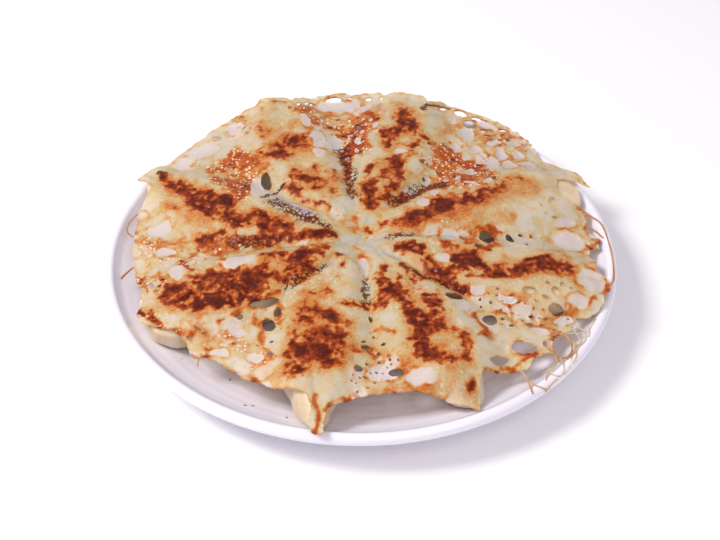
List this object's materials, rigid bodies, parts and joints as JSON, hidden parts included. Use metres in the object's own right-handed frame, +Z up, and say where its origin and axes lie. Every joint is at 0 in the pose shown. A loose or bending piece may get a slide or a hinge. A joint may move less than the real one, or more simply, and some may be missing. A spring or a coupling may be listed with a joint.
{
  "type": "plated ring of pan-fried gyoza dumplings",
  "caption": "Round white plate with pan-fried gyoza dumplings in a ring, browned faces up, joined by one thin lacy crisp starch skirt.",
  "frame": {"origin": "centre of the plate's foot, on the table", "axes": "+Z up, +X to the dish's right, -Y to its front"},
  "size_m": [0.24, 0.24, 0.034],
  "materials": {
    "plate": "glossy",
    "dough": "moist",
    "starch": "oily, browned"
  },
  "bodies": {
    "root": {"plate": "plate", "gyoza_1": "dough", "gyoza_2": "dough", "gyoza_3": "dough", "gyoza_4": "dough", "gyoza_5": "dough", "gyoza_6": "dough", "gyoza_7": "dough", "gyoza_8": "dough", "starch_skirt": "starch"}
  },
  "joints": []
}
